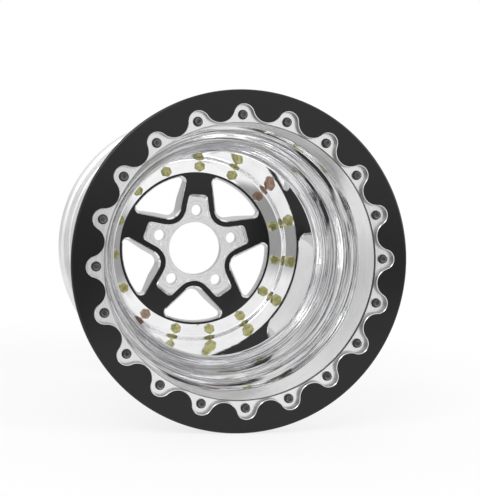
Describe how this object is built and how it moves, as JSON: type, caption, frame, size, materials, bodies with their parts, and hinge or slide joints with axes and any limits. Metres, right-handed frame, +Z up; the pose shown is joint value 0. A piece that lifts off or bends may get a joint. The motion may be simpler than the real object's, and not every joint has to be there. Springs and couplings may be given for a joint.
{
  "type": "beadlock wheel",
  "caption": "Deep-dish bolted racing wheel with a black scalloped bead clamp ring, polished spun rim halves and a recessed star centre with windows.",
  "frame": {"origin": "centre of the hub bore on the back face of the mounting pad", "axes": "+Y along the axle from the outer face towards the car, +Z up, +X to the right seen from outside"},
  "size_m": [0.4318, 0.402, 0.4318],
  "materials": {
    "black_anodised": "satin black, bolt pockets machined bare",
    "black_steel": "black oxide",
    "machined_aluminium": "machined",
    "plain_steel": "satin",
    "polished_aluminium": "mirror polished",
    "black_centre": "satin black face, star and windows machined bare",
    "gold_zinc": "yellow zinc plated",
    "sealant": "cured sealant"
  },
  "bodies": {
    "root": {"beadlock_ring": "black_anodised", "beadlock_bolts": "black_steel", "bead_seat_ring": "machined_aluminium", "thread_inserts": "plain_steel", "outer_rim_half": "polished_aluminium", "inner_rim_half": "polished_aluminium", "wheel_center": "black_centre", "center_bolts": "gold_zinc", "center_washers": "plain_steel", "center_nuts": "gold_zinc", "joint_sealant": "sealant"}
  },
  "joints": []
}
